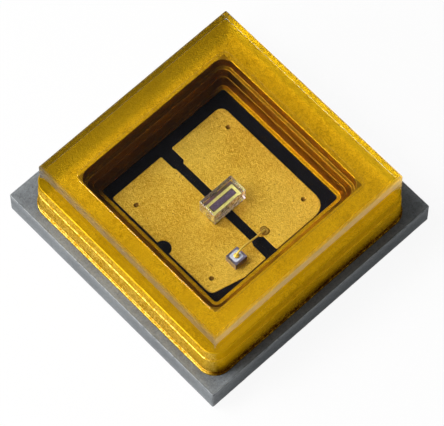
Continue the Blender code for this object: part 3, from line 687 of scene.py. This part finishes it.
def make_floor(studio):
    """A wide pale disc under the terminals, which the camera, gloss and glass see as white."""
    work = bmesh.new()
    bmesh.ops.create_circle(work, cap_ends=True, segments=96, radius=studio.floor_radius)
    floor = new_object("floor", written(work, bpy.data.meshes.new("floor")))
    n = Finish("pale_floor")
    floor.data.materials.append(n.material)
    clouds = n.noise(n.place(), 0.05).ramp(0.3, 0.7, 0.985, 1.0)
    n.set(Base_Color=clouds.mix(BLACK, studio.floor), Roughness=0.9, Specular_IOR_Level=0.1)
    path = n.add("ShaderNodeLightPath").outputs
    camera, gloss, glass = (Value(path[f"Is {ray} Ray"]) for ray in ("Camera", "Glossy", "Transmission"))
    seen = camera.at_least(gloss).at_least(glass)
    away = n.vector("LENGTH", n.place()).ramp(2.0, 5.0)
    glow = n.one("ShaderNodeEmission", {"Color": WHITE, "Strength": 1.0})
    n.cover((camera * studio.floor_glow).at_least(seen * away), glow)


def make_room(scene, studio):
    """Soft light: white round the horizon, bright on the lamp's side and dark overhead."""
    scene.world = bpy.data.worlds.new("room")
    scene.world.use_nodes = True
    n = Nodes(scene.world.node_tree)
    facing = n.vector("NORMALIZE", n.one("ShaderNodeTexCoord", out="Generated"))
    height = n.split(facing)[2]
    level = Vector((KEY_SIDE.x, KEY_SIDE.y, 0.0)).normalized()
    sides = n.vector("DOT_PRODUCT", facing, level).ramp(-0.7, 0.8, studio.shade_side, studio.bright_side)
    above = height.ramp(0.35, 0.85)
    upper = above * studio.overhead + (1.0 - above) * sides
    horizon = height.ramp(0.06, 0.16, 1.0, 0.0)
    n.fill(n.tree.nodes["Background"].inputs, Color=WHITE, Strength=upper.at_least(horizon))


def make_lamp(name, direction, power):
    """A square lamp that faces the part."""
    lamp = bpy.data.lights.new(name, "AREA")
    lamp.size = LAMP_SIZE
    lamp.energy = power
    place = new_object(name, lamp)
    place.location = (CAD_BOX[0] + CAD_BOX[1]) / 2 + direction.normalized() * LAMP_DISTANCE
    place.rotation_euler = direction.to_track_quat("Z", "Y").to_euler()


def make_camera(scene, studio):
    """The camera at the photograph's angle."""
    camera = bpy.data.cameras.new("camera")
    camera.lens = studio.lens
    camera.sensor_width = 36.0
    camera.clip_start = 0.1 * MM
    camera.clip_end = 10.0
    scene.camera = new_object("camera", camera)
    side, rise = studio.azimuth, studio.elevation
    back = Vector((math.sin(side) * math.cos(rise), -math.cos(side) * math.cos(rise), math.sin(rise)))
    scene.camera.location = CAMERA_TARGET + back * studio.distance
    scene.camera.rotation_euler = back.to_track_quat("Z", "Y").to_euler()


class MakeStudio(Operator):
    """Makes the floor, the lamps, the room's light and the camera"""
    bl_idname = "uvled.make_studio"
    bl_label = "Studio"

    def execute(self, context):
        studio = context.scene.uv_led.studio
        make_floor(studio)
        make_room(context.scene, studio)
        make_lamp("key_lamp", KEY_SIDE, studio.key_power)
        make_lamp("low_lamp", LOW_SIDE, studio.low_power)
        make_camera(context.scene, studio)
        context.scene.view_settings.view_transform = "Standard"
        return {"FINISHED"}


def base_rings(settings, start, end):
    """The section, with more rings near its edges, where the chips are."""
    radius, ease = settings.corner_radius, settings.edge_ease
    half, low, high = (end.x - start.x) / 2, start.z, end.z
    plain = eased_section([Corner(0.0, 0.0, low), Corner(half, radius, low, ease),
                           Corner(half, radius, high, ease), Corner(0.0, 0.0, high)])
    under, over = ([Ring(half - gap * MM, max(0.0, radius - gap * MM), height, edge)
                    for gap, edge in ((0.10, 0.0), (0.05, 0.15), (0.025, 0.5))] for height in (low, high))
    side = [Ring(half, radius, low + (high - low) * part, edge)
            for part, edge in ((0.10, 0.4), (0.25, 0.1), (0.5, 0.0), (0.75, 0.1), (0.90, 0.4))]
    first = len(plain) // 2
    return plain[:1] + under + plain[1:first] + side + plain[first:-1] + over[::-1] + plain[-1:]


def ceramic(settings):
    """Grey ceramic with pale grains, dark specks and paler chips, and painted shade that darkens its upright
    sides.
    """
    n = Finish("speckled_ceramic")
    height, peaks, _ = n.use(plating_grain, Size=0.016, Patchiness=0.2)
    [dots] = n.use(specks, Spacing=0.040, Dot=0.34)
    [wear] = n.use(edge_wear, Size=0.04)
    clouds = n.noise(n.place(), 1.6).ramp(0.3, 0.7)
    tone = (peaks * 0.55 + clouds * 0.35).mix(settings.dark, settings.light)
    tone = (dots * 0.6).mix(tone, (0.06, 0.06, 0.065))
    # Painted shade: the upright sides are darkened by up to a third.
    tone = abs(n.facing()[2]).ramp(0.8, 0.4, 0.0, 0.34).mix(tone, BLACK)
    n.set(Base_Color=(wear * 0.55).mix(tone, (0.36, 0.38, 0.385)), Roughness=0.55)
    n.bump(height, 0.004)
    return n.material


class MakeBase(Operator):
    """Makes the ceramic base with its chipped edges"""
    bl_idname = "uvled.make_base"
    bl_label = "Ceramic Base"

    def execute(self, context):
        settings = context.scene.uv_led.base
        piece = lofted("base_body", "ceramic_base", base_rings(settings, *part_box("ceramic_base")), False,
                       ceramic(settings), Corner_Steps=4, Side_Steps=150,
                       Unevenness=0.002 * MM, Uneven_Size=0.08 * MM,
                       Chip_Depth=settings.chip_depth, Chip_Size=settings.chip_size)
        mount(piece, "ceramic_base", "ceramic_base")
        return {"FINISHED"}


class DressTerminals(Operator):
    """Gives the solder terminals and the vias their plated finish"""
    bl_idname = "uvled.dress_terminals"
    bl_label = "Terminals and Vias"

    def execute(self, context):
        settings = context.scene.uv_led.frame
        dress(plated_gold("terminal_gold", settings.light, settings.dark, 0.32, 0.018, 0.004, 0.4),
              "cathode_terminal", "anode_terminal", "thermal_terminal")
        dress(plated_gold("via_fill", (0.62, 0.30, 0.16), (0.34, 0.15, 0.07), 0.45, 0.012, 0.003),
              "via_1", "via_2", "via_3", "via_4")
        return {"FINISHED"}


def frame_section(settings, low, high):
    """Corners of the section, anticlockwise from the outer foot."""
    foot = (high.x - low.x) / 2
    wall, band, opening = foot - WALL_INSET, foot - BAND_INSET, opening_half(settings)
    groove = wall - settings.groove_depth
    tread = opening - DRAFT - settings.tread_width
    line = tread - DRAFT - LINE_STEP
    lip = line - DRAFT - LIP_WIDTH
    bottom, top = low.z, high.z
    flange = bottom + FLANGE_HEIGHT
    step = top - settings.tread_depth
    shift = settings.foot_shift

    def outside(half, height, ease_mm):
        return Corner(half, settings.corner_radius + half - band, height, ease_mm * MM)

    def inside(reach, height, ease_mm, off_centre=0.0):
        radius = settings.opening_radius + reach - opening
        return Corner(reach - off_centre, radius, height, ease_mm * MM, off_centre)

    return [
        outside(foot, bottom, 0.002),
        outside(foot, flange, 0.012),
        outside(groove, flange, 0.014),
        outside(groove, flange + GROOVE_HEIGHT, 0.012),
        outside(wall, flange + GROOVE_END, 0.020),
        outside(wall - BAND_STEP, top - settings.band_height - BAND_STEP, 0.005),
        outside(band, top - settings.band_height, 0.005),
        outside(band, top, 0.012),
        inside(opening, top, 0.012),
        inside(opening - DRAFT, step, 0.012),
        inside(tread, step, 0.012),
        inside(tread - DRAFT, top - settings.line_depth, 0.003, shift / 2),
        inside(line, top - settings.line_depth - LINE_STEP, 0.003, shift / 2),
        inside(line - DRAFT, flange, 0.006, shift),
        inside(lip, flange, 0.007, shift),
        inside(lip, bottom, 0.002, shift),
    ]


def frame_gold(settings, low, high):
    """Gold, grainy on top and smoother and lined on the walls, with painted shade, a painted shadow and a
    painted highlight.
    """
    n = Finish("frame_gold")
    place = n.place()
    x, y, z = n.split(place)
    toward_rear = (x + y).ramp(-2.2, 0.4, 0.85, 0.1)
    height, peaks, pits = n.use(plating_grain, Size=settings.grain / MM, Patchiness=toward_rear)
    [lines] = n.use(level_lines)
    [wear] = n.use(edge_wear)
    stains = n.noise(place, 1.1).ramp(0.3, 0.7)

    # Where on the frame: its walls, its outside and the inside of its opening
    facing = n.facing()
    wall = abs(facing[2]).ramp(0.80, 0.45)
    lit = (facing[0] * -0.95 + facing[1] * -0.30).ramp(0.74, 0.93)
    middle, edge = node_middle("frame") / MM, opening_half(settings) / MM
    bottom, top = low.z / MM, high.z / MM
    lip_top = bottom + FLANGE_HEIGHT / MM
    off_x, off_y = x - middle.x, y - middle.y
    wide_x = abs(off_x)
    reach = wide_x.at_least(abs(off_y))
    inside, outside = reach.ramp(edge + 0.010, edge - 0.001), reach.ramp(edge + 0.10, edge + 0.30)
    flank = wall * outside
    rear = (off_y - wide_x).ramp(-0.05, 0.20)
    right = (off_y + wide_x).ramp(-0.10, -0.30, 1.0, 0.25)
    left = (off_x + abs(off_y)).ramp(0.05, -0.15)
    deep = inside * (1.0 - z.ramp(lip_top + 0.020, lip_top + 0.004))

    tone = (peaks * 0.60 + stains * 0.20 + wear * outside * 0.4 + lines * wall * 0.2).clamped()
    gold = tone.mix(settings.dark, settings.light)
    # Painted highlight: the grain peaks on the outer walls turn paler, most on the walls that face the lamps
    # and on the left side.
    sunny = (wall * lit.ramp(0.0, 1.0, 0.15, 1.0)).at_least(left)
    pale = outside * z.ramp(top - 0.002, top - 0.014) * (peaks.ramp(0.20, 0.70) * sunny)
    gold = pale.mix(gold, settings.flank)
    # Painted shade and painted reflection of the dark ledge: the foot of the outer walls turns dark brown,
    # except on faces turned to the lamps.
    spared = lit.ramp(0.0, 0.6).at_least(left * wall.ramp(0.0, 1.0, 1.0, 0.0))
    foot = z.ramp(bottom + 0.32, bottom + 0.08, 0.0, 0.95) * outside * (1.0 - spared)
    gold = (foot * peaks.ramp(0.35, 0.80, 1.0, 0.12)).mix(gold, settings.foot)
    gold = (pits * 0.5).mix(gold, toned(settings.dark, 0.4))
    # Painted shadow of the window's cut sides: an olive strip on the top along the window's two rear edges.
    glass_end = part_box("window")[1] / MM
    behind = y.ramp(glass_end.y - 0.26, glass_end.y - 0.15, 0.0, 0.62)
    beside = x.ramp(glass_end.x - 0.12, glass_end.x - 0.04, 0.0, 0.78)
    gold = (behind.at_least(beside) * z.ramp(top - 0.050, top - 0.015)).mix(gold, settings.olive)
    # Painted shade inside the opening: its walls and steps above the lip turn dark brown, less on the
    # front-right side and most on the rear side.
    inner = deep * wall.ramp(0.0, 1.0, 0.68, 0.86) * right
    shaded = inside * rear * wall.ramp(0.0, 1.0, 0.98, 0.80)
    gold = inner.at_least(shaded).mix(gold, settings.shade)

    smooth = wall * inside * rear.ramp(0.0, 1.0, 0.14, 0.0) + flank * 0.12
    n.set(Base_Color=gold, Specular_Tint=settings.edge_tint, Metallic=1.0,
          Roughness=PLATING_ROUGHNESS - smooth - peaks * 0.10)
    n.bump(height * flank.ramp(0.0, 1.0, 1.0, 4.5) + lines * wall * 0.35, 0.0040)
    return n.material


class MakeFrame(Operator):
    """Makes the plated frame by lofting its stepped section round the cavity"""
    bl_idname = "uvled.make_frame"
    bl_label = "Frame"

    def execute(self, context):
        settings = context.scene.uv_led.frame
        low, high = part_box("frame")
        piece = lofted("frame_body", "frame", eased_section(frame_section(settings, low, high)), True,
                       frame_gold(settings, low, high), Corner_Steps=22, Side_Steps=48,
                       Unevenness=settings.unevenness, Uneven_Size=0.07 * MM)
        mount(piece, "frame", "frame")
        return {"FINISHED"}


def pad_gold(settings):
    """Grainy gold with a brown stain over each via."""
    n = Finish("pad_gold")
    place = n.place()
    height, peaks, _ = n.use(plating_grain, Size=settings.grain / MM, Patchiness=0.25)
    clouds = n.noise(place, 1.4).ramp(0.3, 0.7)
    gold = (peaks * 0.62 + clouds * 0.38).mix(settings.dark, settings.light)
    [dots] = n.use(specks, Spacing=0.042, Dot=0.30)
    pits = dots * n.noise(place, 3.1, 1.0).ramp(0.45, 0.62)
    gold = (pits * 0.75).mix(gold, settings.pit)
    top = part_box("anode_pad")[1].z
    for number in range(1, 5):
        middle = node_middle(f"via_{number}")
        centre = (middle.x / MM, middle.y / MM, top / MM)
        [stain] = n.use(round_stain, Centre=centre, Radius=settings.stain / MM)
        gold = (stain * 0.9).mix(gold, settings.stained)
    n.set(Base_Color=gold, Metallic=1.0, Roughness=PLATING_ROUGHNESS - peaks * 0.14)
    n.bump(height, 0.0085)
    return n.material


def black_coat(settings):
    """Matt black coat with a faint grain."""
    n = Finish("black_coat")
    height, peaks, _ = n.use(plating_grain, Size=0.020, Patchiness=0.1)
    n.set(Base_Color=peaks.mix(settings.coat, toned(settings.coat, 2.5)), Roughness=0.5,
          Specular_IOR_Level=0.05)
    n.bump(height, 0.003)
    return n.material


class MakeFloorAndPads(Operator):
    """Gives the gold pads their grain and the black coat its finish"""
    bl_idname = "uvled.make_floor_and_pads"
    bl_label = "Cavity Floor"

    def execute(self, context):
        settings = context.scene.uv_led.pads
        dress(pad_gold(settings), "cathode_pad", "anode_pad")
        dress(black_coat(settings), "floor_mask")
        return {"FINISHED"}


def quartz(settings, low, high):
    """Clear glass with hazy cut sides, and painted shade on its front sides and rounded edges. The window's
    box is given in millimetres.
    """
    n = Finish("window_quartz")
    x, y, z = n.split(n.place())
    edge = n.carried(EDGE)
    facing_up = n.facing()[2]
    upright = abs(facing_up).ramp(0.9, 0.6)
    near = (x - low.x).at_most(y - low.y)
    strip = facing_up.ramp(0.6, 0.9) * near.ramp(settings.haze_width / MM, 0.0)
    front = upright * near.ramp(0.06, 0.03)
    haze = front * z.ramp(high.z - 0.26, high.z - 0.08, 0.05, settings.haze) + strip * settings.edge_haze
    haze = haze + (upright - front) * 0.14
    # Painted shade: the tint darkens what shows through the front sides and dims the highlights along the
    # rounded edges.
    n.set(Base_Color=front.at_least(edge).mix(WHITE, settings.cut_tint), IOR=settings.ior,
          Roughness=(haze + edge * 0.30).clamped(), Metallic=0.0, Transmission_Weight=1.0)
    n.let_lamps_through(settings.lamp_share)
    return n.material


class MakeWindow(Operator):
    """Makes the quartz window with the ring of glue that holds it"""
    bl_idname = "uvled.make_window"
    bl_label = "Window"

    def execute(self, context):
        settings = context.scene.uv_led.window
        low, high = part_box("window")
        half, radius = (high.x - low.x) / 2, settings.corner_radius
        bare = opening_half(context.scene.uv_led.frame) + BARE_MARGIN
        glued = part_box("frame")[1].z - IMMERSED
        rings = eased_section([
            Corner(0.0, 0.0, low.z),
            Corner(bare, STEP_RADIUS, low.z, SHARP),
            Corner(bare, STEP_RADIUS, glued, SHARP),
            Corner(half, radius, glued, 0.003 * MM),
            Corner(half, radius, high.z, settings.top_round),
            Corner(0.0, 0.0, high.z),
        ], steps=5)
        piece = lofted("window_glass", "window", rings, False, quartz(settings, low / MM, high / MM),
                       Corner_Steps=5, Side_Steps=110,
                       Chip_Depth=settings.chip_depth, Chip_Size=settings.chip_size)
        mount(piece, "window", "window", "window_seal")
        return {"FINISHED"}


def led_block(settings):
    """The clear block, rounded a little along its cut edges."""
    low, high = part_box("led_substrate")
    low.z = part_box("led_n_contact")[1].z - IMMERSED
    return eased_block("led_block", low, high, settings.edge_ease, sapphire(settings))


def led_film(settings):
    """The dark film round the contacts, just under their tops."""
    low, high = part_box("led_epi_layer")
    low.z, high.z = (corner.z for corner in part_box("led_n_contact"))
    high.z -= IMMERSED / 2
    inset = Vector((IMMERSED, IMMERSED, 0.0))
    return eased_block("led_film", low + inset, high - inset, IMMERSED, light_layers(settings))


def sapphire(settings):
    """Clear block with hazy cut sides."""
    n = Finish("led_sapphire")
    cut = abs(n.facing()[2]).ramp(0.9, 0.5)
    haze = n.noise(n.place(), 24.0).ramp(0.3, 0.7, 0.01, 0.06)
    n.set(Base_Color=cut.mix((0.96, 0.94, 1.0), settings.cut_tint), IOR=settings.ior,
          Roughness=haze + cut * settings.cut_haze, Transmission_Weight=1.0)
    n.let_lamps_through(0.6)
    return n.material


def light_layers(settings):
    """Dark olive film with brown-violet patches."""
    n = Finish("light_layers")
    patches = n.noise(n.place(), 9.0).ramp(0.40, 0.60)
    n.set(Base_Color=patches.mix(settings.layers, settings.layers_patch), Roughness=0.35)
    return n.material


class MakeLedChip(Operator):
    """Makes the clear LED chip and finishes the layers and joints under it"""
    bl_idname = "uvled.make_led_chip"
    bl_label = "LED Chip"

    def execute(self, context):
        settings = context.scene.uv_led.chips
        mount(led_block(settings), "led_substrate", "led_substrate")
        mount(led_film(settings), "led_epi_layer", "led_epi_layer")
        ring, bar = settings.ring, settings.bar
        dress(plated_gold("ring_contact", ring, toned(ring, 0.8), 0.55), "led_n_contact")
        dress(plated_gold("bar_contact", bar, toned(bar, 0.6), 0.38, 0.012), "led_p_contact")
        dress(plated_gold("chip_pad", (0.80, 0.55, 0.20), (0.55, 0.33, 0.09), 0.3), "led_n_pad", "led_p_pad")
        dress(plated_gold("gold_tin_joint", (0.66, 0.50, 0.27), (0.42, 0.28, 0.12), 0.36, 0.012, 0.002),
              "led_n_solder", "led_p_solder", "zener_solder")
        return {"FINISHED"}


def silicon(grey):
    """Sawn silicon with level saw marks."""
    n = Finish("sawn_silicon")
    height, peaks, _ = n.use(plating_grain, Size=0.012, Patchiness=0.1)
    [lines] = n.use(level_lines, Spacing=0.010, Length=0.3)
    tone = ((peaks + lines) * 0.5).mix(toned(grey, 0.5), toned(grey, 1.6))
    n.set(Base_Color=tone, Metallic=0.2, Roughness=0.35)
    n.bump(height, 0.002)
    return n.material


class DressDiode(Operator):
    """Finishes the protection diode and the pad on top of it"""
    bl_idname = "uvled.dress_diode"
    bl_label = "Protection Diode"

    def execute(self, context):
        settings = context.scene.uv_led.chips
        metal = settings.silicon_pad
        dress(silicon(settings.silicon), "zener_chip")
        dress(plated_gold("diode_pad", metal, toned(metal, 0.8), 0.62), "zener_pad")
        return {"FINISHED"}


def wire_path(settings):
    """Points and radii: up through the ball, over in one loop, and down on to the pad."""
    wire, rise = settings.diameter / 2, settings.ball_height / 2
    middle = node_middle("zener_pad")
    middle.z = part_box("zener_pad")[1].z + BALL_SEAT + rise
    end = stitch_place() + Vector((0.0, 0.0, wire))
    along = (end - middle).to_2d().normalized().to_3d()
    swings = [math.pi * step / 10 - math.pi / 2 for step in range(1, 9)]
    points = [middle + Vector((0.0, 0.0, rise * math.sin(swing))) for swing in swings]
    radii = [max(wire, settings.ball_diameter / 2 * math.cos(swing) ** 0.7) for swing in swings]
    start = points[-1]
    leave = start + along * 0.045 * MM + Vector((0.0, 0.0, 0.100 * MM))
    arrive = end - along * 0.200 * MM + Vector((0.0, 0.0, 0.060 * MM))
    for step in range(1, LOOP_STEPS + 1):
        part = step / LOOP_STEPS
        rest = 1 - part
        points.append(start * rest ** 3 + leave * 3 * rest ** 2 * part
                      + arrive * 3 * rest * part ** 2 + end * part ** 3)
    return points, radii + [wire] * LOOP_STEPS


def stitch_place():
    """Where the wire lands on the pad."""
    low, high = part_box("bond_wire")
    return Vector((high.x - STITCH_IN_BOX.x, high.y - STITCH_IN_BOX.y, low.z))


def wire_gold(settings):
    """Bright gold, dark brown over the stitch and a little less dark on its raised lobes."""
    n = Finish("wire_gold")
    height, peaks, _ = n.use(plating_grain, Size=0.012, Patchiness=0.2)
    bright = peaks.mix(toned(settings.gold, 0.85), settings.gold)
    n.set(Base_Color=n.carried(PRESSED).mix(bright, settings.pressed_gold), Metallic=1.0,
          Roughness=height.ramp(0.3, 0.7, 0.68, 0.58))
    n.bump(height, 0.0008)
    return n.material


def add_stitch(mesh, settings):
    """The flattened end of the wire: a low two-lobed cushion with a dip in its middle."""
    work = bmesh.new()
    work.from_mesh(mesh)
    pressed = work.verts.layers.float.new(PRESSED)
    middle = stitch_place()
    along = (middle - node_middle("zener_pad")).to_2d()
    heading = math.atan2(along.y, along.x)
    profile = ((0.0, 0.0, 1.0), (1.0, 0.0, 1.0), (0.97, 0.35, 1.0), (0.82, 0.8, 0.88), (0.6, 1.0, 0.78),
               (0.35, 0.75, 0.88), (0.15, 0.45, 1.0), (0.0, 0.4, 1.0))
    rings = []
    for out, rise, dark in profile:
        rings.append([])
        for step in range(STITCH_STEPS if out else 1):
            turn = math.tau * step / STITCH_STEPS
            off = (turn + math.pi) % math.tau - math.pi
            radius = settings.stitch_radius * (1 - 0.24 * math.exp(-(off / 0.5) ** 2)) * out
            spot = Vector((math.cos(turn + heading) * radius, math.sin(turn + heading) * radius,
                           rise * settings.stitch_height))
            rings[-1].append(work.verts.new(middle + spot))
            rings[-1][-1][pressed] = dark
    for inner, outer in zip(rings, rings[1:]):
        for step in range(STITCH_STEPS):
            after = (step + 1) % STITCH_STEPS
            corners = [ring[place % len(ring)] for ring, place in (
                (inner, step), (inner, after), (outer, after), (outer, step))]
            work.faces.new(list(dict.fromkeys(corners))).smooth = True
    bmesh.ops.recalc_face_normals(work, faces=work.faces)
    written(work, mesh)


class MakeBondWire(Operator):
    """Makes the bond wire with its ball and its stitch"""
    bl_idname = "uvled.make_bond_wire"
    bl_label = "Bond Wire"

    def execute(self, context):
        settings = context.scene.uv_led.wire
        points, radii = wire_path(settings)
        start = line_mesh("bond_loop", points, **{THICKNESS: radii})
        piece = grow("bond_loop", start, shared(tapered_wire), Sides=settings.sides,
                     Material=wire_gold(settings))
        add_stitch(piece.data, settings)
        mount(piece, "bond_wire", "bond_wire")
        return {"FINISHED"}


class UVLED_PT_panel(Panel):
    """Lists the pieces of the part"""
    bl_label = "Ultraviolet LED"
    bl_idname = "UVLED_PT_panel"
    bl_space_type = "VIEW_3D"
    bl_region_type = "UI"
    bl_category = "UV LED"

    def draw(self, context):
        for operator in OPERATORS:
            self.layout.operator(operator.bl_idname)


SETTINGS = (BaseSettings, FrameSettings, WindowSettings, PadSettings, ChipSettings, WireSettings,
            StudioSettings, PartSettings)
OPERATORS = (MakeStudio, MakeBase, DressTerminals, MakeFrame, MakeFloorAndPads, MakeWindow, MakeLedChip,
             DressDiode, MakeBondWire)
CLASSES = (*SETTINGS, *OPERATORS, UVLED_PT_panel)


def register():
    for item in CLASSES:
        bpy.utils.register_class(item)
    bpy.types.Scene.uv_led = PointerProperty(type=PartSettings)


def unregister():
    del bpy.types.Scene.uv_led
    for item in reversed(CLASSES):
        bpy.utils.unregister_class(item)


def main():
    """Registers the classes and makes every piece."""
    register()
    for operator in OPERATORS:
        getattr(bpy.ops.uvled, operator.bl_idname.split(".")[1])()


if __name__ == "__main__":
    main()
